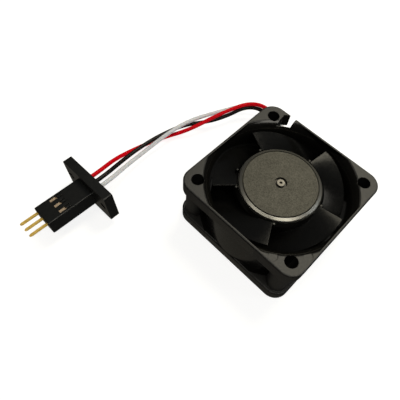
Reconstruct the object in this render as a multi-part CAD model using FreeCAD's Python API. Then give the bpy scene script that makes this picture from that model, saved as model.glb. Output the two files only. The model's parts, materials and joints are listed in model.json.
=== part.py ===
import FreeCAD, Part
import math
import os

from FreeCAD import Vector as V

# A 40 mm axial cooling fan of a printer's hot end, with its three leads and their plug.
# Millimetres, +Z up. The origin is at the centre of the fan's outlet face, which lies on
# the ground; the intake face is at FRAME_H. The impeller turns about the Z axis.

# Fan frame
FRAME = 40.0            # side of the square frame
FRAME_H = 20.0          # depth of the frame
CORNER_R = 4.2          # rounding of its corners
EDGE_R = 0.45           # rounding of the flange edges
UPPER_FLANGE = 4.6      # thickness of the intake-side flange
LOWER_FLANGE = 4.0      # thickness of the outlet-side flange
BORE_R = 19.0           # duct
BARREL_R = 19.9         # outside of the duct between the flanges
MOUTH_R = 21.4          # bell mouth where it meets the intake face
MOUTH_DEPTH = 3.8
MOUTH_RIM = 0.7         # rim left where the bell mouth is cut off along each side
HOLE_PITCH = 32.0
HOLE_R = 1.75
BOSS_R = 3.0            # hollow column around each screw hole, between the flanges
MARK_R = 1.2            # ejector-pin marks beside one corner hole
MARK_DEPTH = 0.15

# Motor base and struts on the outlet side
BASE_R = 12.6
BASE_T = 1.8
RIM_H = 3.0
LABEL_R = 11.2
LABEL_T = 0.2
STRUT_W = 3.0
STRUT_H = 2.6
LEAD_ANGLE = 120.0      # direction of the strut that carries the leads
CHANNEL_W = 4.5
CHANNEL_FLOOR = 3.4
CHANNEL_TOP = 5.0
CHANNEL_WALL = 0.75
SLOT_TOP = 5.7          # top of the notch that lets the leads through the duct wall

# Rotor
CUP_R = 11.45
CUP_TOP = 19.2
CUP_BOTTOM = 6.8
CUP_WALL = 0.55
CUP_SLOPE = 0.5         # height of the sloping shoulder outside the groove
CUP_EDGE_R = 0.3
GROOVE_R = 10.4
HUB_R = 12.4
HUB_TOP = 18.3
HUB_SLOPE = 1.1         # height of the sloping top of the ring round the cup
HUB_BOTTOM = 6.7
BLADES = 5
BLADE_TIP_R = 18.52
BLADE_TOP = 18.1
BLADE_BOTTOM = 6.9
BLADE_LEAD_ANGLE = 11.0  # direction of one blade's leading edge
BLADE_SPAN = 102.0       # degrees from leading to trailing edge
BLADE_T = 0.8
BLADE_CURVE = 0.72       # 0 for an even slope, more for a flat start and a steep end
GATE_ANGLE = 203.0       # a single extra tab on the hub ring
SHAFT_R = 1.2
SHAFT_TOP = 19.25
SHAFT_BOTTOM = 1.3
CENTRE_R = 0.42          # centre drilling in the end of the shaft
BUSH_R = 1.75
BUSH_TOP = 18.6
BUSH_BOTTOM = 14.88
MAGNET_T = 1.0
MAGNET_Z = (7.1, 14.5)

# Bearings in their sleeve
SLEEVE_R = 3.3
SLEEVE_BORE = 2.15
SLEEVE_Z = (1.0, 14.6)
BEARING_R = 2.5
BEARING_W = 2.3
BEARING_INNER_R = 1.55
BEARING_OUTER_R = 2.05
BALL_R = 0.24
BALLS = 7
LOWER_BEARING_Z = 2.2
UPPER_BEARING_Z = 12.0

# Stator and circuit board
CORE_R = 9.5
CORE_Z = (7.7, 11.7)
POLES = 4
BOARD_R = 10.8
BOARD_BORE = 3.7
BOARD_Z = 2.75
BOARD_T = 0.8

# Leads and plug
LEAD_D = 1.3
PIN_PITCH = 2.54
PLUG_AT = V(-40.7, -36.4, 1.55)
PLUG_TURN = FreeCAD.Rotation(-0.7, -8.6, -1.8)   # yaw, pitch and roll, degrees
PLATE_W = 20.9
PLATE_Y = (-0.2, 2.7)
PLATE_Z = (0.15, 10.1)
EAR_HOLE_X = 8.1
EAR_HOLE_R = 1.15
HOUSING_W = 7.8
HOUSING_L = 15.0
HOUSING_Z = (2.7, 7.4)
PIN_Z = 6.1
PIN_W = 0.64
PIN_TIP = 20.6
ENTRY_DEPTH = 1.5        # how far a lead goes into the plug before its crimp
WINDOW_Y = (-10.6, -8.7)
LANCE_Y = (-8.7, -6.8)

# Routes of the leads from the circuit board to the plug
LEAD_ROUTES = {
    "lead_red": [
        (-5.8, 7.3, 4.2), (-11.9, 17.6, 4.6), (-19.8, 28.2, 6.3), (-30.8, 28.1, 5.8),
        (-35.4, 14.6, 5.2), (-38.8, 3.6, 2.9), (-44.5, -5.0, 0.5), (-46.7, -14.5, 1.0),
        (-45.9, -22.8, 4.4), (-44.01, -29.77, 7.0), (-44.1, -34.97, 7.16),
    ],
    "lead_black": [
        (-4.6, 8.0, 4.2), (-10.45, 18.3, 4.15), (-18.2, 27.2, 4.2), (-31.1, 28.2, 4.2),
        (-34.9, 14.0, 2.9), (-42.0, 5.0, 2.0), (-44.3, -5.0, 2.4), (-44.9, -14.5, 2.8),
        (-43.6, -22.6, 4.6), (-41.5, -29.8, 7.38), (-41.59, -35.0, 7.54),
    ],
    "lead_white": [
        (-3.4, 8.7, 4.2), (-9.4, 19.1, 4.2), (-18.0, 30.0, 3.4), (-31.6, 29.4, 3.0),
        (-38.0, 16.6, 2.5), (-41.3, 6.0, 3.7), (-42.0, -3.5, 4.2), (-42.3, -13.5, 3.2),
        (-41.2, -22.4, 4.8), (-38.99, -29.83, 7.76), (-39.08, -35.03, 7.92),
    ],
}

Z_AXIS = V(0, 0, 1)


def cylinder(r, z0, z1, x=0.0, y=0.0):
    return Part.makeCylinder(r, z1 - z0, V(x, y, z0))


def tube(r_out, r_in, z0, z1):
    return cylinder(r_out, z0, z1).cut(cylinder(r_in, z0 - 1, z1 + 1))


def cuboid(x0, x1, y0, y1, z0, z1):
    return Part.makeBox(x1 - x0, y1 - y0, z1 - z0, V(x0, y0, z0))


def turned(shape, degrees):
    copy = shape.copy()
    copy.rotate(V(0, 0, 0), Z_AXIS, degrees)
    return copy


def fused(shapes):
    return shapes[0].fuse(shapes[1:]).removeSplitter()


def radial_block(r0, r1, width, z0, z1, degrees):
    return turned(cuboid(r0, r1, -width / 2, width / 2, z0, z1), degrees)


def rounded_square(z0, z1, edge):
    """A flange: a square plate with round corners and softened edges."""
    half = FRAME / 2
    block = cuboid(-half, half, -half, half, z0, z1)
    upright = [e for e in block.Edges if abs(e.tangentAt(e.FirstParameter).z) > 0.9]
    block = block.makeFillet(CORNER_R, upright)
    flat = [e for e in block.Edges if e.BoundBox.ZLength < 0.01]
    return block.makeFillet(edge, flat)


def bell_mouth():
    """The room inside the intake: a quarter-round mouth, cut off along the four sides."""
    z0 = FRAME_H - MOUTH_DEPTH
    mid = V(BORE_R + 0.3 * (MOUTH_R - BORE_R), 0, z0 + 0.62 * MOUTH_DEPTH)
    start = V(BORE_R, 0, z0)
    end = V(MOUTH_R, 0, FRAME_H)
    top = V(MOUTH_R, 0, FRAME_H + 1)
    axis_top = V(0, 0, FRAME_H + 1)
    axis_low = V(0, 0, z0)
    edges = [
        Part.Arc(start, mid, end).toShape(),
        Part.makeLine(end, top),
        Part.makeLine(top, axis_top),
        Part.makeLine(axis_top, axis_low),
        Part.makeLine(axis_low, start),
    ]
    room = Part.Face(Part.Wire(edges)).revolve(V(0, 0, 0), Z_AXIS, 360)
    half = FRAME / 2 - MOUTH_RIM
    return room.common(cuboid(-half, half, -half, half, z0, FRAME_H + 1))


def wire_notch():
    """Hooked notch through the intake flange that holds the leads, open to the +Y side."""
    outline = [(-10.6, 22), (-12.6, 22), (-12.6, 19.8), (-14.0, 18.6), (-13.4, 14), (-10.0, 14)]
    loop = [V(x, y, FRAME_H - UPPER_FLANGE - 0.5) for x, y in outline]
    prism = Part.Face(Part.makePolygon(loop + loop[:1])).extrude(V(0, 0, UPPER_FLANGE + 2))
    return prism.cut(cylinder(BARREL_R, 0, FRAME_H + 5))


def lead_channel():
    """Open-topped channel on one strut that carries the leads to the duct wall."""
    outside = CHANNEL_W + 2 * CHANNEL_WALL
    body = radial_block(BASE_R - 0.6, BORE_R + 0.4, outside, 0, CHANNEL_TOP, LEAD_ANGLE)
    room = radial_block(0, BORE_R + 1, CHANNEL_W, CHANNEL_FLOOR, CHANNEL_TOP + 1, LEAD_ANGLE)
    return body.cut(room)


def motor_base():
    """Round base under the motor: label recess below, rim and board seat above."""
    base = cylinder(BASE_R, 0, RIM_H).cut(cylinder(BASE_R - 0.9, BASE_T, RIM_H + 1))
    seat = cylinder(SLEEVE_R + 1.7, BASE_T - 0.2, BOARD_Z)
    base = base.fuse(seat)
    base = base.cut(cylinder(SLEEVE_R, SLEEVE_Z[0], RIM_H + 1))
    base = base.cut(cylinder(LABEL_R + 0.15, -1, LABEL_T))
    opening = radial_block(BOARD_R - 1.5, BASE_R + 1, CHANNEL_W, CHANNEL_FLOOR - 0.45, 9, LEAD_ANGLE)
    return base.cut(opening)


def fan_frame():
    """One moulding: two flanges, the duct, four struts and the motor base."""
    upper = rounded_square(FRAME_H - UPPER_FLANGE, FRAME_H, EDGE_R)
    lower = rounded_square(0, LOWER_FLANGE, EDGE_R)
    body = upper.fuse([lower, cylinder(BARREL_R, 0.2, FRAME_H - 0.2)])
    body = body.cut(cylinder(BORE_R, -1, FRAME_H + 1))
    body = body.cut(bell_mouth())
    struts = []
    for i in range(1, 4):
        angle = LEAD_ANGLE + 90 * i
        struts.append(radial_block(BASE_R - 0.6, BORE_R + 0.4, STRUT_W, 0, STRUT_H, angle))
    body = body.fuse(struts + [lead_channel(), motor_base()])
    way_out = radial_block(BORE_R - 1.5, 32, CHANNEL_W + 0.6, CHANNEL_FLOOR, SLOT_TOP, LEAD_ANGLE)
    body = body.cut(way_out)
    body = body.cut(wire_notch())
    half = HOLE_PITCH / 2
    corners = [(x, y) for x in (-half, half) for y in (-half, half)]
    low = LOWER_FLANGE - 0.5
    high = FRAME_H - UPPER_FLANGE + 0.5
    body = body.fuse([cylinder(BOSS_R, low, high, x, y) for x, y in corners])
    for x, y in corners:
        body = body.cut(cylinder(HOLE_R, -1, FRAME_H + 1, x, y))
    for x, y in ((12.0, -18.15), (18.15, -12.0)):
        body = body.cut(cylinder(MARK_R, FRAME_H - MARK_DEPTH, FRAME_H + 1, x, y))
    return body.removeSplitter()


def blade_line(x, s):
    """Middle of the blade at distance x from the axis, from the leading edge (0) to the end (1)."""
    angle = math.radians(BLADE_SPAN * (0.5 - s))
    fall = (1 - BLADE_CURVE) * s + BLADE_CURVE * s * s
    return x * math.tan(angle), BLADE_TOP - (BLADE_TOP - BLADE_BOTTOM) * fall


def blade_section(x):
    """Curved blade outline in the upright plane at distance x from the axis."""
    steps = 10
    upper = []
    lower = []
    for i in range(steps + 1):
        s = i / steps
        t, z = blade_line(x, s)
        t0, z0 = blade_line(x, max(0.0, s - 0.02))
        t1, z1 = blade_line(x, min(1.0, s + 0.02))
        run = math.hypot(t1 - t0, z1 - z0)
        nt, nz = (z0 - z1) / run, (t0 - t1) / run
        half = BLADE_T / 2 * (0.5 + 0.5 * math.sin(math.pi * (0.12 + 0.76 * s)))
        upper.append(V(x, t + nt * half, z + nz * half))
        lower.append(V(x, t - nt * half, z - nz * half))
    top = Part.BSplineCurve()
    top.interpolate(upper)
    low = Part.BSplineCurve()
    low.interpolate(lower)
    along = (upper[0] + lower[0] - upper[1] - lower[1]).normalize()
    nose = (upper[0] + lower[0]) * 0.5 + along * (0.5 * (upper[0] - lower[0]).Length)
    edges = [
        top.toShape(),
        Part.makeLine(upper[-1], lower[-1]),
        low.toShape(),
        Part.Arc(lower[0], nose, upper[0]).toShape(),
    ]
    return Part.Wire(Part.__sortEdges__(edges))


def blade():
    solid = Part.makeLoft([blade_section(7.5), blade_section(19.0)], True, True)
    ring = tube(BLADE_TIP_R, HUB_R - 0.5, HUB_BOTTOM, BLADE_TOP + 1.5)
    return solid.common(ring)


def round_peg(radius, z0, z1, x):
    """Upright peg with a rounded top end."""
    peg = cylinder(radius, z0, z1, x, 0)
    rim = [e for e in peg.Edges if e.BoundBox.ZMin > z1 - 0.01]
    return peg.makeFillet(0.28, rim)


def impeller():
    """Plastic ring on the steel cup, with five blades, a tab at each root and one more."""
    ring = cylinder(HUB_R, HUB_BOTTOM, HUB_TOP - HUB_SLOPE)
    slope = Part.makeCone(HUB_R, CUP_R + 0.15, HUB_SLOPE, V(0, 0, HUB_TOP - HUB_SLOPE), V(0, 0, 1))
    ring = ring.fuse(slope).cut(cylinder(CUP_R, 0, FRAME_H))
    parts = [ring]
    one = blade()
    for i in range(BLADES):
        lead = BLADE_LEAD_ANGLE + 360 / BLADES * i
        parts.append(turned(one, lead - BLADE_SPAN / 2))
        tab = round_peg(0.52, HUB_TOP - 1.6, HUB_TOP + 0.1, HUB_R - 0.2)
        parts.append(turned(tab.cut(cylinder(CUP_R, 0, 30)), lead + 2.5))
    gate = round_peg(0.5, HUB_TOP - 1.6, HUB_TOP, HUB_R)
    parts.append(turned(gate.cut(cylinder(CUP_R, 0, 30)), GATE_ANGLE))
    return fused(parts)


def rotor_cup():
    """Drawn steel cup, open below, with a rounded shoulder and a fine ring groove."""
    body = cylinder(CUP_R, CUP_BOTTOM, CUP_TOP - CUP_SLOPE)
    slope = Part.makeCone(CUP_R, GROOVE_R, CUP_SLOPE, V(0, 0, CUP_TOP - CUP_SLOPE), V(0, 0, 1))
    body = body.fuse(slope)
    rim = [e for e in body.Edges if abs(e.BoundBox.ZMin - CUP_TOP + CUP_SLOPE) < 0.01 and e.BoundBox.ZLength < 0.01]
    body = body.makeFillet(CUP_EDGE_R, rim)
    body = body.cut(cylinder(CUP_R - CUP_WALL, CUP_BOTTOM - 1, CUP_TOP - CUP_WALL))
    body = body.cut(tube(GROOVE_R + 0.13, GROOVE_R - 0.13, CUP_TOP - 0.22, CUP_TOP + 1))
    return body.cut(cylinder(BUSH_R, CUP_TOP - 2, CUP_TOP + 1))


def rotor_shaft():
    """Ground steel shaft, centre-drilled at the top, with a clip groove near the bottom."""
    body = cylinder(SHAFT_R, SHAFT_BOTTOM, SHAFT_TOP)
    ends = [e for e in body.Edges if e.BoundBox.ZLength < 0.01]
    body = body.makeChamfer(0.15, ends)
    centre = Part.makeCone(0.1, CENTRE_R, 0.6, V(0, 0, SHAFT_TOP - 0.6))
    groove = tube(SHAFT_R + 1, SHAFT_R - 0.25, 1.75, 2.05)
    return body.cut(centre).cut(groove)


def retaining_clip():
    """Open washer in the shaft's groove, under the lower bearing."""
    ring = tube(1.9, SHAFT_R - 0.22, 1.78, 2.02)
    return ring.cut(cuboid(0, 3, -0.7, 0.7, 1, 3))


def bearing_outer(z):
    """Outer race with its two shields."""
    race = tube(BEARING_R, BEARING_OUTER_R, z, z + BEARING_W)
    shields = [
        tube(BEARING_OUTER_R + 0.1, BEARING_INNER_R + 0.08, z0, z0 + 0.15)
        for z0 in (z + 0.1, z + BEARING_W - 0.25)
    ]
    return fused([race] + shields)


def bearing_inner(z):
    return tube(BEARING_INNER_R, SHAFT_R, z, z + BEARING_W)


def bearing_balls(z):
    r = (BEARING_INNER_R + BEARING_OUTER_R) / 2
    mid = z + BEARING_W / 2
    spots = [2 * math.pi * i / BALLS for i in range(BALLS)]
    return Part.makeCompound([
        Part.makeSphere(BALL_R, V(r * math.cos(a), r * math.sin(a), mid)) for a in spots
    ])


def bearing_sleeve():
    """Brass sleeve pressed into the base, with a shoulder between the two bearings."""
    low, high = SLEEVE_Z
    body = tube(SLEEVE_R, SLEEVE_BORE, low, high)
    body = body.cut(cylinder(BEARING_R, low - 1, LOWER_BEARING_Z + BEARING_W))
    return body.cut(cylinder(BEARING_R, UPPER_BEARING_Z, high + 1))


def preload_spring():
    """Dished spring washer between the upper bearing's inner race and the bush."""
    low = UPPER_BEARING_Z + BEARING_W + 0.03
    inner = SHAFT_R + 0.05
    outline = [(inner, low), (inner, low + 0.15), (1.95, low + 0.5), (1.95, low + 0.35)]
    loop = [V(r, 0, z) for r, z in outline]
    return Part.Face(Part.makePolygon(loop + loop[:1])).revolve(V(0, 0, 0), Z_AXIS, 360)


def stator_outline(z0, z1, shoe_r, neck_w):
    """Four-pole stator plan, as a slab between two heights."""
    parts = [tube(4.9, SLEEVE_R, z0, z1)]
    for i in range(POLES):
        angle = 45 + 90 * i
        parts.append(radial_block(4.5, 8.8, neck_w, z0, z1, angle))
        shoe = tube(shoe_r, 8.5, z0, z1)
        wedge = radial_block(6, 11, 9.6, z0 - 1, z1 + 1, angle)
        parts.append(shoe.common(wedge))
    return fused(parts)


def stator_coil(index):
    """Copper winding around one pole's insulated neck."""
    low, high = CORE_Z
    outer = cuboid(5.15, 8.0, -2.5, 2.5, low - 1.5, high + 1.5)
    long_edges = [e for e in outer.Edges if e.BoundBox.XLength > 2.5]
    outer = outer.makeFillet(1.0, long_edges)
    neck = cuboid(4, 9, -1.36, 1.36, low - 0.61, high + 0.61)
    return turned(outer.cut(neck), 45 + 90 * index)


def insulator(upper):
    """Moulded cap that covers one end of the core and its pole necks."""
    low, high = CORE_Z
    if upper:
        return stator_outline(high, high + 0.6, 9.3, 2.7)
    return stator_outline(low - 0.6, low, 9.3, 2.7)


def circuit_board():
    board = tube(BOARD_R, BOARD_BORE, BOARD_Z, BOARD_Z + BOARD_T)
    return board


def board_part(w, d, h, r, degrees):
    """A small box-shaped part on the board at radius r."""
    z0 = BOARD_Z + BOARD_T
    return turned(cuboid(r - d / 2, r + d / 2, -w / 2, w / 2, z0, z0 + h), degrees)


def solder_joints():
    """A short dome of solder on the board in front of each lead's bare end."""
    beads = []
    for points in LEAD_ROUTES.values():
        start = V(*points[0])
        along = (V(*points[1]) - start).normalize()
        cone = Part.makeCone(0.3, LEAD_D / 2 - 0.05, 1.0, start - along, along)
        beads.append(cone)
    return Part.makeCompound(beads)


def base_label():
    return cylinder(LABEL_R, 0.05, LABEL_T)


def placed(shape):
    """Move a piece of the plug from the plug's own frame to where the plug lies."""
    copy = shape.copy()
    copy.Placement = FreeCAD.Placement(PLUG_AT, PLUG_TURN).multiply(copy.Placement)
    return copy


def contact_x(index):
    return PIN_PITCH * (index - 1)


def plug_plate():
    """Mounting plate across the plug with a screw hole in each ear."""
    half = PLATE_W / 2
    y0, y1 = PLATE_Y
    z0, z1 = PLATE_Z
    body = cuboid(-half, half, y0, y1, z0, z1)
    upright = [e for e in body.Edges if e.BoundBox.YLength > y1 - y0 - 0.1]
    body = body.makeFillet(0.5, upright)
    for x in (-EAR_HOLE_X, EAR_HOLE_X):
        start = V(x, y0 - 1, (z0 + z1) / 2)
        body = body.cut(Part.makeCylinder(EAR_HOLE_R, y1 - y0 + 2, start, V(0, 1, 0)))
    low, high = HOUSING_Z
    return body.cut(cuboid(-HOUSING_W / 2, HOUSING_W / 2, y0 - 1, y1 + 1, low, high))


def plug_housing():
    """Plug body through the plate: three contact cavities, each with a window and a lance."""
    low, high = HOUSING_Z
    half = HOUSING_W / 2
    back = PLATE_Y[1]
    body = cuboid(-half, half, -HOUSING_L, back, low, high)
    rounded = [
        e for e in body.Edges
        if abs(e.BoundBox.YMax + HOUSING_L) < 0.01 or (e.BoundBox.YLength > HOUSING_L and e.BoundBox.ZMin > low + 0.1)
    ]
    body = body.makeFillet(0.32, rounded)
    for i in range(3):
        x = contact_x(i)
        rooms = [
            cuboid(x - 0.8, x + 0.8, -12.6, back - ENTRY_DEPTH, PIN_Z - 0.7, PIN_Z + 0.7),
            cuboid(x - 0.36, x + 0.36, -16, -12, PIN_Z - 0.36, PIN_Z + 0.36),
            Part.makeCylinder(LEAD_D / 2 + 0.08, 3, V(x, back - ENTRY_DEPTH - 0.5, PIN_Z), V(0, 1, 0)),
            cuboid(x - 0.5, x + 0.5, WINDOW_Y[0], WINDOW_Y[1], PIN_Z, high + 1),
            cuboid(x - 0.68, x + 0.68, LANCE_Y[0], LANCE_Y[0] + 0.35, PIN_Z, high + 1),
        ]
        for side in (-0.68, 0.42):
            rooms.append(cuboid(x + side, x + side + 0.26, LANCE_Y[0], LANCE_Y[1], PIN_Z, high + 1))
        body = body.cut(rooms)
    return body


def contact_pin(index):
    """Gold pin, its box in the cavity, the tongue in the window and the crimp on the lead."""
    x = contact_x(index)
    half = PIN_W / 2
    pin = cuboid(x - half, x + half, -PIN_TIP + 0.5, -11, PIN_Z - half, PIN_Z + half)
    tip = Part.makeLoft([
        Part.makePolygon([V(x + a * h, y, PIN_Z + b * h) for a, b in
                          ((-1, -1), (1, -1), (1, 1), (-1, 1), (-1, -1))])
        for h, y in ((half, -PIN_TIP + 0.5), (0.16, -PIN_TIP))
    ], True, True)
    box = cuboid(x - 0.72, x + 0.72, -12.4, -6.2, PIN_Z - 0.62, PIN_Z + 0.3)
    tongue = cuboid(x - 0.45, x + 0.45, WINDOW_Y[0] + 0.05, WINDOW_Y[1] - 0.05,
                    PIN_Z, HOUSING_Z[1] - 0.12)
    bridge = cuboid(x - 0.3, x + 0.3, -6.4, -3.4, PIN_Z - 0.62, PIN_Z - 0.2)
    crimp_end = PLATE_Y[1] - ENTRY_DEPTH
    crimp = Part.makeCylinder(0.68, crimp_end + 3.6, V(x, -3.6, PIN_Z), V(0, 1, 0))
    return fused([pin, tip, box, tongue, bridge, crimp])


def cord_tube(name, points, diameter):
    """A round cord along straight runs joined by tangent arcs as large as the runs allow."""
    route = [V(*p) for p in points]
    runs = [(b - a).Length for a, b in zip(route, route[1:])]
    edges = []
    radii = []
    here = route[0]
    for i in range(1, len(route) - 1):
        back = (route[i - 1] - route[i]).normalize()
        ahead = (route[i + 1] - route[i]).normalize()
        turn = math.pi - back.getAngle(ahead)
        reach = 0.45 * min(runs[i - 1], runs[i])
        radius = reach / math.tan(turn / 2)
        start = route[i] + back * reach
        end = route[i] + ahead * reach
        middle = (back + ahead).normalize()
        mid = route[i] + middle * (radius / math.cos(turn / 2) - radius)
        edges.append(Part.LineSegment(here, start).toShape())
        edges.append(Part.Arc(start, mid, end).toShape())
        radii.append(round(radius, 1))
        here = end
    edges.append(Part.LineSegment(here, route[-1]).toShape())
    path = Part.Wire(edges)
    first = (route[1] - route[0]).normalize()
    section = Part.Wire(Part.makeCircle(diameter / 2, route[0], first))
    body = path.makePipeShell([section], True, False)
    expected = math.pi * diameter ** 2 / 4 * path.Length
    print(name, "length", round(path.Length, 1), "radii", radii)
    print(name, "volume ratio", round(body.Volume / expected, 4))
    return body


def build():
    pieces = {
        "fan_frame": fan_frame(),
        "base_label": base_label(),
        "impeller": impeller(),
        "rotor_cup": rotor_cup(),
        "rotor_magnet": tube(CUP_R - CUP_WALL, CUP_R - CUP_WALL - MAGNET_T, *MAGNET_Z),
        "rotor_bush": tube(BUSH_R, SHAFT_R, BUSH_BOTTOM, BUSH_TOP),
        "rotor_shaft": rotor_shaft(),
        "retaining_clip": retaining_clip(),
        "preload_spring": preload_spring(),
        "bearing_sleeve": bearing_sleeve(),
        "lower_bearing_outer": bearing_outer(LOWER_BEARING_Z),
        "lower_bearing_inner": bearing_inner(LOWER_BEARING_Z),
        "lower_bearing_balls": bearing_balls(LOWER_BEARING_Z),
        "upper_bearing_outer": bearing_outer(UPPER_BEARING_Z),
        "upper_bearing_inner": bearing_inner(UPPER_BEARING_Z),
        "upper_bearing_balls": bearing_balls(UPPER_BEARING_Z),
        "stator_core": stator_outline(*CORE_Z, CORE_R, 2.0),
        "insulator_upper": insulator(True),
        "insulator_lower": insulator(False),
        "circuit_board": circuit_board(),
        "driver_chip": board_part(3.0, 2.6, 1.0, 7.6, -62),
        "hall_sensor": board_part(2.4, 1.3, 1.0, 9.6, 15),
        "board_capacitor": board_part(1.6, 1.1, 0.9, 8.6, 190),
        "board_resistor": board_part(1.4, 0.8, 0.5, 8.6, 215),
        "board_diode": board_part(2.0, 1.2, 0.9, 8.4, 60),
        "solder_joints": solder_joints(),
        "plug_plate": placed(plug_plate()),
        "plug_housing": placed(plug_housing()),
    }
    for i, colour in enumerate(("red", "black", "white")):
        pieces["stator_coil_%d" % (i + 1)] = stator_coil(i)
        pieces["contact_" + colour] = placed(contact_pin(i))
        name = "lead_" + colour
        pieces[name] = cord_tube(name, LEAD_ROUTES[name], LEAD_D)
    pieces["stator_coil_4"] = stator_coil(3)
    return pieces


os.makedirs("parts", exist_ok=True)
for node, shape in build().items():
    solids = len(shape.Solids)
    print(node, "valid", shape.isValid(), "solids", solids, "volume", round(shape.Volume, 2))
    shape.exportStep("parts/" + node + ".step")
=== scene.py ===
import json
import math

import bmesh
import bpy
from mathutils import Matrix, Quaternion, Vector


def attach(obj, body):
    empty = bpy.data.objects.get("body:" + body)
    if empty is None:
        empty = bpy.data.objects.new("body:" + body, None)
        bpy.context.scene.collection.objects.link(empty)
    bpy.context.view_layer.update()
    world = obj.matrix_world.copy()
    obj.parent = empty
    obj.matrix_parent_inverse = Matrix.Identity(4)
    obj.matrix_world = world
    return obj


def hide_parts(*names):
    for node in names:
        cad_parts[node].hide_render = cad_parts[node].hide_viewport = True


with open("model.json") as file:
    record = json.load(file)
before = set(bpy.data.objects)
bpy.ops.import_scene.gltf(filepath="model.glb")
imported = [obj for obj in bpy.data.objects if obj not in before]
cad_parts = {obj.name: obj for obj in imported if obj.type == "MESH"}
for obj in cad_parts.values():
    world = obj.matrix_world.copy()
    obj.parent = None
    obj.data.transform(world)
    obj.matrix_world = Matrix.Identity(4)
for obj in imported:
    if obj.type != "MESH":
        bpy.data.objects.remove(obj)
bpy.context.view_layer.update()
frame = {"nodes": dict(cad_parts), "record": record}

MM = 0.001
FACE_Z = 19.79  # just under the intake face
DUCT_EDGE_R = 21.35  # outside the duct's mouth
GROOVE_R = 10.4  # the fine groove between the cup's face and its shoulder
PIN_END_Y = -49.5  # the pins are beyond this, the contact boxes behind it
FLOOR_SIZE = 3
BACKDROP_R = 4
nodes = frame["nodes"]
scene = bpy.context.scene

# ---------------------------------------------------------------- camera

CAMERA_PLACE = Vector((18.9, -56.2, 107.8)) * MM
CAMERA_AIM = Vector((-18.07, -11.7, 0.0)) * MM
CAMERA_ROLL = math.radians(5.68)
CAMERA_LENS = 34.6


def make_camera():
    data = bpy.data.cameras.new("camera")
    data.lens = CAMERA_LENS
    data.sensor_width = 36
    data.clip_start = 0.005
    data.clip_end = 10
    camera = bpy.data.objects.new("camera", data)
    scene.collection.objects.link(camera)
    camera.location = CAMERA_PLACE
    look = (CAMERA_AIM - CAMERA_PLACE).to_track_quat("-Z", "Y")
    camera.rotation_mode = "QUATERNION"
    camera.rotation_quaternion = look @ Quaternion((0, 0, 1), CAMERA_ROLL)
    scene.camera = camera


make_camera()

# ---------------------------------------------------------------- leads

LEAD_D = 1.3
LEAD_ROUTES = {
    "lead_red": [
        (-5.8, 7.3, 4.2), (-11.9, 17.6, 4.6), (-19.8, 28.2, 6.3), (-30.8, 28.1, 5.8),
        (-35.4, 14.6, 5.2), (-38.8, 3.6, 2.9), (-44.5, -5.0, 0.5), (-46.7, -14.5, 1.0),
        (-45.9, -22.8, 4.4), (-44.01, -29.77, 7.0), (-44.1, -34.97, 7.16),
    ],
    "lead_black": [
        (-4.6, 8.0, 4.2), (-10.45, 18.3, 4.15), (-18.2, 27.2, 4.2), (-31.1, 28.2, 4.2),
        (-34.9, 14.0, 2.9), (-42.0, 5.0, 2.0), (-44.3, -5.0, 2.4), (-44.9, -14.5, 2.8),
        (-43.6, -22.6, 4.6), (-41.5, -29.8, 7.38), (-41.59, -35.0, 7.54),
    ],
    "lead_white": [
        (-3.4, 8.7, 4.2), (-9.4, 19.1, 4.2), (-18.0, 30.0, 3.4), (-31.6, 29.4, 3.0),
        (-38.0, 16.6, 2.5), (-41.3, 6.0, 3.7), (-42.0, -3.5, 4.2), (-42.3, -13.5, 3.2),
        (-41.2, -22.4, 4.8), (-38.99, -29.83, 7.76), (-39.08, -35.03, 7.92),
    ],
}


def make_lead(node):
    curve = bpy.data.curves.new(node + "_cord", "CURVE")
    curve.dimensions = "3D"
    spline = curve.splines.new("NURBS")
    points = LEAD_ROUTES[node]
    spline.points.add(len(points) - 1)
    for point, place in zip(spline.points, points):
        point.co = (*(Vector(place) * MM), 1)
        point.radius = LEAD_D / 2 * MM  # the curve's box takes in its points' radii
    spline.order_u = 3
    spline.use_endpoint_u = True
    spline.resolution_u = 24
    curve.bevel_depth = 1
    curve.bevel_resolution = 8
    curve.use_fill_caps = True
    lead = bpy.data.objects.new(node + "_cord", curve)
    scene.collection.objects.link(lead)
    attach(lead, "frame")
    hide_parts(node)
    colour = node.split("_")[1]
    with_pieces = [nodes["contact_" + colour]]
    if colour == "black":
        with_pieces += [nodes["plug_housing"], nodes["plug_plate"]]
    return lead


leads = {name: make_lead(name) for name in LEAD_ROUTES}

# ---------------------------------------------------------------- materials


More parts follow.
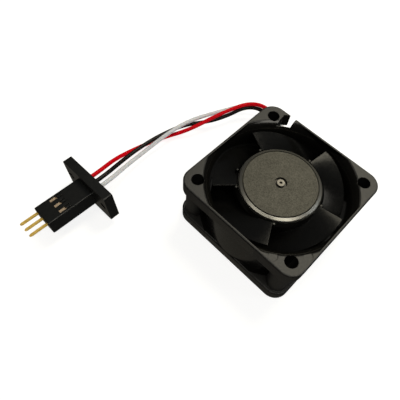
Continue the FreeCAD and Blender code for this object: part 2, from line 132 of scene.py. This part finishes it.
class Nodes:
    """A short way to write a material's nodes."""

    def __init__(self, name):
        self.material = bpy.data.materials.new(name)
        self.material.use_nodes = True
        self.tree = self.material.node_tree
        self.shader = self.tree.nodes["Principled BSDF"]
        self.place = self.tree.nodes.new("ShaderNodeTexCoord").outputs["Object"]

    def link(self, a, b):
        self.tree.links.new(a, b)

    def node(self, kind, **values):
        made = self.tree.nodes.new(kind)
        for key, value in values.items():
            setattr(made, key, value)
        return made

    def noise(self, per_mm, detail=3, roughness=0.55, stretch=(1, 1, 1)):
        """Noise with about per_mm cells to a millimetre."""
        mapping = self.node("ShaderNodeMapping")
        mapping.inputs["Scale"].default_value = [s / MM for s in stretch]
        self.link(self.place, mapping.inputs["Vector"])
        made = self.node("ShaderNodeTexNoise")
        made.inputs["Scale"].default_value = per_mm
        made.inputs["Detail"].default_value = detail
        made.inputs["Roughness"].default_value = roughness
        self.link(mapping.outputs["Vector"], made.inputs["Vector"])
        return made.outputs["Fac"]

    def ramp(self, source, low, high, low_value, high_value):
        """A number that goes from low_value to high_value as source goes from low to high."""
        made = self.node("ShaderNodeMapRange")
        span = {"From Min": low, "From Max": high, "To Min": low_value, "To Max": high_value}
        for name, value in span.items():
            made.inputs[name].default_value = value
        self.link(source, made.inputs["Value"])
        return made.outputs["Result"]

    def mix(self, factor, a, b):
        made = self.node("ShaderNodeMix", data_type="RGBA")
        made.inputs["A"].default_value = (*a, 1)
        made.inputs["B"].default_value = (*b, 1)
        self.link(factor, made.inputs["Factor"])
        return made.outputs["Result"]

    def speckle(self, colour, source, low, high):
        """The colour, made darker and lighter by low to high where source varies."""
        made = self.node("ShaderNodeVectorMath", operation="SCALE")
        self.link(colour, made.inputs[0])
        self.link(self.ramp(source, 0.3, 0.7, low, high), made.inputs["Scale"])
        return made.outputs["Vector"]

    def painted_edge_highlight(self, colour, soft_normal, gain):
        """Painted edge highlight: the colour, made lighter where the surface turns sharply."""
        plain = self.node("ShaderNodeNewGeometry").outputs["Normal"]
        dot = self.node("ShaderNodeVectorMath", operation="DOT_PRODUCT")
        self.link(soft_normal, dot.inputs[0])
        self.link(plain, dot.inputs[1])
        made = self.node("ShaderNodeVectorMath", operation="SCALE")
        self.link(colour, made.inputs[0])
        self.link(self.ramp(dot.outputs["Value"], 0.8, 0.995, 1 + gain, 1), made.inputs["Scale"])
        return made.outputs["Vector"]

    def radius(self):
        """Distance from the fan's axis."""
        plan = self.node("ShaderNodeVectorMath", operation="MULTIPLY")
        self.link(self.place, plan.inputs[0])
        plan.inputs[1].default_value = (1, 1, 0)
        made = self.node("ShaderNodeVectorMath", operation="LENGTH")
        self.link(plan.outputs["Vector"], made.inputs[0])
        return made.outputs["Value"]

    def bump(self, height, strength, distance_mm, below=None):
        made = self.node("ShaderNodeBump")
        made.inputs["Strength"].default_value = strength
        made.inputs["Distance"].default_value = distance_mm * MM
        self.link(height, made.inputs["Height"])
        if below:
            self.link(below, made.inputs["Normal"])
        return made.outputs["Normal"]

    def set(self, **sockets):
        for name, value in sockets.items():
            socket = self.shader.inputs[name.replace("_", " ")]
            if hasattr(value, "is_linked"):
                self.link(value, socket)
            else:
                socket.default_value = value


def moulded_plastic(name, dark, light, rough, grain, specular=0.2, edge=0.0):
    """Injection-moulded plastic: spark-eroded grain, faint flow marks, a painted highlight along its
    edges.
    """
    m = Nodes(name)
    fine = m.noise(7.0, 4, 0.65)
    flow = m.noise(0.22, 2, 0.5, (1, 1, 0.4))
    smudge = m.noise(0.9, 3, 0.6)
    soft = m.node("ShaderNodeBevel")
    soft.samples = 6
    soft.inputs["Radius"].default_value = 0.14 * MM
    colour = m.mix(m.ramp(flow, 0.3, 0.7, 0, 1), dark, light)
    colour = m.speckle(colour, fine, 0.7, 1.35)
    # painted edge highlight: the colour is lightened at sharp edges by the gain edge
    if edge:
        colour = m.painted_edge_highlight(colour, soft.outputs["Normal"], edge)
    m.set(
        Base_Color=colour,
        Roughness=m.ramp(smudge, 0.3, 0.7, *rough),
        Normal=m.bump(smudge, 0.12, 0.05, m.bump(fine, grain, 0.02, soft.outputs["Normal"])),
        Specular_IOR_Level=specular,
    )
    return m.material


def frame_plastic():
    """The frame's plastic: grained on its faces and sides, polished in the duct and its mouth."""
    m = Nodes("frame_plastic")
    fine = m.noise(6.0, 4, 0.7)
    grit = m.noise(2.2, 3, 0.6)
    smudge = m.noise(0.9, 3, 0.6)
    split = m.node("ShaderNodeSeparateXYZ")
    m.link(m.place, split.inputs[0])
    on_face = m.ramp(split.outputs["Z"], FACE_Z * MM, (FACE_Z + 0.04) * MM, 0, 1)
    outside = m.ramp(m.radius(), DUCT_EDGE_R * MM, (DUCT_EDGE_R + 0.1) * MM, 0, 1)
    grained = m.node("ShaderNodeMath", operation="MAXIMUM")
    m.link(on_face, grained.inputs[0])
    m.link(outside, grained.inputs[1])
    soft = m.node("ShaderNodeBevel")
    soft.samples = 6
    soft.inputs["Radius"].default_value = 0.16 * MM
    colour = m.mix(m.ramp(smudge, 0.3, 0.7, 0, 1), (0.0036, 0.0034, 0.003), (0.0046, 0.0044, 0.0038))
    colour = m.speckle(colour, fine, 0.6, 1.5)
    grain = m.node("ShaderNodeBump")
    grain.inputs["Distance"].default_value = 0.02 * MM
    m.link(m.ramp(grained.outputs["Value"], 0, 1, 0.06, 0.6), grain.inputs["Strength"])
    m.link(fine, grain.inputs["Height"])
    m.link(soft.outputs["Normal"], grain.inputs["Normal"])
    rough = m.node("ShaderNodeMath", operation="ADD")
    m.link(m.ramp(grained.outputs["Value"], 0, 1, 0.17, 0.5), rough.inputs[0])
    m.link(m.ramp(grit, 0.3, 0.7, -0.04, 0.04), rough.inputs[1])
    pits = m.node("ShaderNodeBump")
    pits.inputs["Distance"].default_value = 0.05 * MM
    m.link(m.ramp(grained.outputs["Value"], 0, 1, 0.0, 0.55), pits.inputs["Strength"])
    m.link(grit, pits.inputs["Height"])
    m.link(grain.outputs["Normal"], pits.inputs["Normal"])
    # the base colour is lightened at sharp edges: a painted edge highlight
    m.set(
        Base_Color=m.painted_edge_highlight(colour, soft.outputs["Normal"], 0.6),
        Roughness=rough.outputs["Value"],
        Normal=m.bump(smudge, 0.1, 0.05, pits.outputs["Normal"]),
        Specular_IOR_Level=m.ramp(grained.outputs["Value"], 0, 1, 0.25, 0.5),
    )
    return m.material


def turned_metal(name, dark, light, rough, metallic):
    """Satin metal: faint clouds and a fine speckle in colour, gloss and surface."""
    m = Nodes(name)
    cloud = m.noise(0.5, 4, 0.6)
    speck = m.noise(11.0, 3, 0.7)
    m.set(
        Base_Color=m.speckle(m.mix(m.ramp(cloud, 0.3, 0.7, 0, 1), dark, light), speck, 0.9, 1.1),
        Roughness=m.ramp(speck, 0.3, 0.7, *rough),
        Normal=m.bump(speck, 0.2, 0.02),
        Metallic=metallic,
    )
    return m.material


def cup_steel():
    """Drawn steel cup: a blasted dark face, painted shade along its groove, and a brighter, smoother
    shoulder.
    """
    m = Nodes("cup_steel")
    cloud = m.noise(0.25, 3, 0.6)
    speck = m.noise(3.2, 4, 0.8)
    shoulder = m.ramp(m.radius(), GROOVE_R * MM, (GROOVE_R + 0.1) * MM, 0, 1)
    face = m.mix(m.ramp(cloud, 0.3, 0.7, 0, 1), (0.067, 0.065, 0.056), (0.08, 0.0775, 0.067))
    face = m.speckle(face, speck, 0.45, 1.55)
    both = m.node("ShaderNodeMix", data_type="RGBA")
    m.link(shoulder, both.inputs["Factor"])
    m.link(face, both.inputs["A"])
    both.inputs["B"].default_value = (0.3, 0.29, 0.255, 1)
    # painted shade: the colour is darkened to about an eighth within 0.2 mm of the groove
    off_line = m.node("ShaderNodeMath", operation="SUBTRACT")
    m.link(m.radius(), off_line.inputs[0])
    off_line.inputs[1].default_value = GROOVE_R * MM
    away = m.node("ShaderNodeMath", operation="ABSOLUTE")
    m.link(off_line.outputs["Value"], away.inputs[0])
    groove_shade = m.node("ShaderNodeVectorMath", operation="SCALE")
    m.link(both.outputs["Result"], groove_shade.inputs[0])
    m.link(m.ramp(away.outputs["Value"], 0.13 * MM, 0.2 * MM, 0.12, 1), groove_shade.inputs["Scale"])
    m.set(
        Base_Color=groove_shade.outputs["Vector"],
        Roughness=m.ramp(shoulder, 0, 1, 0.62, 0.4),
        Normal=m.bump(speck, 0.5, 0.02),
        Metallic=1.0,
    )
    return m.material


def contact_plating():
    """Gold flash on the pins, paler tin on the boxes and crimps behind them."""
    m = Nodes("contact_gold")
    cloud = m.noise(0.5, 4, 0.6)
    speck = m.noise(11.0, 3, 0.7)
    split = m.node("ShaderNodeSeparateXYZ")
    m.link(m.place, split.inputs[0])
    pin = m.ramp(split.outputs["Y"], PIN_END_Y * MM, (PIN_END_Y + 0.5) * MM, 1, 0)
    gold = m.mix(m.ramp(cloud, 0.3, 0.7, 0, 1), (0.92, 0.6, 0.13), (1.0, 0.7, 0.19))
    both = m.node("ShaderNodeMix", data_type="RGBA")
    m.link(pin, both.inputs["Factor"])
    both.inputs["A"].default_value = (0.55, 0.42, 0.3, 1)
    m.link(gold, both.inputs["B"])
    m.set(
        Base_Color=m.speckle(both.outputs["Result"], speck, 0.92, 1.08),
        Roughness=m.ramp(speck, 0.3, 0.7, 0.2, 0.32),
        Normal=m.bump(speck, 0.15, 0.02),
        Metallic=0.4,
    )
    return m.material


def insulation(name, dark, light, specular):
    """Soft extruded insulation: even colour, faint waviness, dull-bright gloss."""
    m = Nodes(name)
    wave = m.noise(0.45, 3, 0.6)
    fine = m.noise(6.0, 3, 0.6)
    m.set(
        Base_Color=m.mix(m.ramp(wave, 0.3, 0.7, 0, 1), dark, light),
        Roughness=m.ramp(fine, 0.3, 0.7, 0.32, 0.45),
        Normal=m.bump(wave, 0.25, 0.06, m.bump(fine, 0.12, 0.015)),
        Specular_IOR_Level=specular,
        Subsurface_Weight=0.05,
    )
    return m.material


# dark and light colour, least and most roughness, grain, specular level, gain of the painted edge
# highlight
PLASTICS = {
    "impeller_plastic": ((0.0026, 0.0026, 0.0025), (0.0034, 0.0034, 0.0032), (0.15, 0.21), 0.06, 0.1, 0.4),
    "plug_plastic": ((0.0044, 0.0045, 0.0042), (0.0056, 0.0057, 0.0053), (0.3, 0.38), 0.2, 0.5, 0.15),
    "label_film": ((0.45, 0.46, 0.47), (0.52, 0.53, 0.54), (0.25, 0.35), 0.05),
    "magnet_ferrite": ((0.02, 0.018, 0.018), (0.04, 0.036, 0.034), (0.5, 0.7), 0.5),
    "insulator_nylon": ((0.62, 0.59, 0.5), (0.7, 0.68, 0.6), (0.35, 0.5), 0.2),
    "chip_epoxy": ((0.012, 0.012, 0.012), (0.022, 0.022, 0.022), (0.45, 0.6), 0.3),
    "capacitor_ceramic": ((0.38, 0.25, 0.14), (0.5, 0.35, 0.2), (0.3, 0.45), 0.15),
    "board_laminate": ((0.01, 0.09, 0.035), (0.015, 0.14, 0.05), (0.2, 0.32), 0.1),
}
# dark and light colour, least and most roughness, how metallic
METALS = {
    "sleeve_brass": ((0.6, 0.42, 0.16), (0.72, 0.53, 0.24), (0.22, 0.36), 1.0),
    "bush_brass": ((0.02, 0.018, 0.014), (0.04, 0.035, 0.028), (0.4, 0.6), 0.4),
    "bearing_steel": ((0.6, 0.6, 0.6), (0.7, 0.7, 0.7), (0.1, 0.2), 1.0),
    "shaft_steel": ((0.1, 0.095, 0.085), (0.14, 0.133, 0.12), (0.42, 0.52), 1.0),
    "spring_steel": ((0.4, 0.4, 0.4), (0.5, 0.5, 0.5), (0.2, 0.3), 1.0),
    "core_steel": ((0.25, 0.25, 0.26), (0.34, 0.34, 0.35), (0.35, 0.5), 1.0),
    "coil_copper": ((0.45, 0.13, 0.04), (0.6, 0.22, 0.07), (0.2, 0.35), 1.0),
    "solder": ((0.55, 0.55, 0.55), (0.68, 0.68, 0.67), (0.15, 0.3), 1.0),
}
# dark and light colour, specular level
INSULATIONS = {
    "insulation_red": ((0.52, 0.0, 0.004), (0.64, 0.0005, 0.008), 0.06),
    "insulation_black": ((0.003, 0.0034, 0.0038), (0.0042, 0.0048, 0.0055), 0.15),
    "insulation_white": ((0.56, 0.575, 0.625), (0.64, 0.655, 0.7), 0.15),
}

materials = {
    "frame_plastic": frame_plastic(),
    "cup_steel": cup_steel(),
    "contact_gold": contact_plating(),
}
for make, table in ((moulded_plastic, PLASTICS), (turned_metal, METALS), (insulation, INSULATIONS)):
    for name, values in table.items():
        materials[name] = make(name, *values)

for item in frame["record"]["subparts"]:
    data = nodes[item["node"]].data
    data.materials.clear()
    data.materials.append(materials[item["material_slot"]])
for name, lead in leads.items():
    lead.data.materials.append(materials[name.replace("lead", "insulation")])

# ---------------------------------------------------------------- floor and light


def make_stage():
    bpy.ops.mesh.primitive_plane_add(size=FLOOR_SIZE, location=(0, 0, 0))
    floor = bpy.context.object
    floor.name = "floor"
    m = Nodes("floor_paper")
    fibre = m.noise(1.2, 5, 0.7)
    far = m.ramp(m.radius(), 150 * MM, 500 * MM, 0.81, 0.96)
    m.set(
        Base_Color=m.mix(fibre, (0.34, 0.34, 0.34), (0.38, 0.38, 0.38)),
        Roughness=0.9,
        Specular_IOR_Level=0.0,
        Emission_Color=(1, 1, 1, 1),
        Emission_Strength=far,
    )
    floor.data.materials.append(m.material)
    floor.visible_glossy = False
    wall = bpy.data.meshes.new("backdrop")
    bm = bmesh.new()
    bmesh.ops.create_uvsphere(bm, u_segments=48, v_segments=24, radius=BACKDROP_R)
    bm.to_mesh(wall)
    bm.free()
    backdrop = bpy.data.objects.new("backdrop", wall)
    scene.collection.objects.link(backdrop)
    m = Nodes("backdrop_paper")
    m.set(
        Base_Color=(0, 0, 0, 1),
        Specular_IOR_Level=0.0,
        Emission_Color=(1, 1, 1, 1),
        Emission_Strength=0.98,
    )
    wall.materials.append(m.material)
    for ray in ("diffuse", "glossy", "transmission", "shadow", "volume_scatter"):
        setattr(backdrop, "visible_" + ray, False)


def area_light(name, place, aim, size, power, colour=(1, 1, 1)):
    data = bpy.data.lights.new(name, "AREA")
    data.shape = "RECTANGLE"
    data.size, data.size_y = size
    data.energy = power
    data.color = colour
    light = bpy.data.objects.new(name, data)
    light.location = place
    light.rotation_mode = "QUATERNION"
    light.rotation_quaternion = (Vector(aim) - Vector(place)).to_track_quat("-Z", "Y")
    scene.collection.objects.link(light)


def make_light():
    world = bpy.data.worlds.new("studio")
    world.use_nodes = True
    tree = world.node_tree
    background = tree.nodes["Background"]
    direction = tree.nodes.new("ShaderNodeTexCoord").outputs["Generated"]
    total = tree.nodes.new("ShaderNodeMath")
    total.operation = "ADD"
    # a patch of sky behind the fan, and below it what its sides would see of a table
    patches = (((-0.15, 0.45, 0.88), 0.7, 0.02, 0.3), ((-0.05, -0.47, -0.88), 0.45, 0.0, 0.11))
    for slot, (centre, edge, low, high) in enumerate(patches):
        toward = tree.nodes.new("ShaderNodeVectorMath")
        toward.operation = "DOT_PRODUCT"
        tree.links.new(direction, toward.inputs[0])
        toward.inputs[1].default_value = centre
        level = tree.nodes.new("ShaderNodeMapRange")
        level.interpolation_type = "SMOOTHSTEP"
        for name, value in (("From Min", edge), ("From Max", 0.95), ("To Min", low), ("To Max", high)):
            level.inputs[name].default_value = value
        tree.links.new(toward.outputs["Value"], level.inputs["Value"])
        tree.links.new(level.outputs["Result"], total.inputs[slot])
    tree.links.new(total.outputs["Value"], background.inputs["Strength"])
    tint = tree.nodes.new("ShaderNodeMix")  # cool above, warm below
    tint.data_type = "RGBA"
    tint.inputs["A"].default_value = (0.9, 0.95, 1, 1)
    tint.inputs["B"].default_value = (1, 0.92, 0.74, 1)
    tree.links.new(toward.outputs["Value"], tint.inputs["Factor"])
    tree.links.new(tint.outputs["Result"], background.inputs["Color"])
    scene.world = world
    area_light("key", (-0.075, 0.405, 0.697), (0, 0, 0), (0.3, 0.3), 3.6, (1, 0.93, 0.74))
    area_light("right", (0.38, 0.29, 0.27), (0, 0, 0.01), (0.12, 0.12), 0.25, (0.85, 0.92, 1))
    area_light("front", (-0.1, -0.27, 0.56), (0, 0, 0.01), (0.24, 0.24), 0.5, (1, 0.96, 0.86))
    area_light("near", (0.29, -0.08, 0.53), (0, 0, 0.01), (0.2, 0.2), 0.95, (1, 0.96, 0.86))
    scene.view_settings.view_transform = "Standard"


make_stage()
make_light()
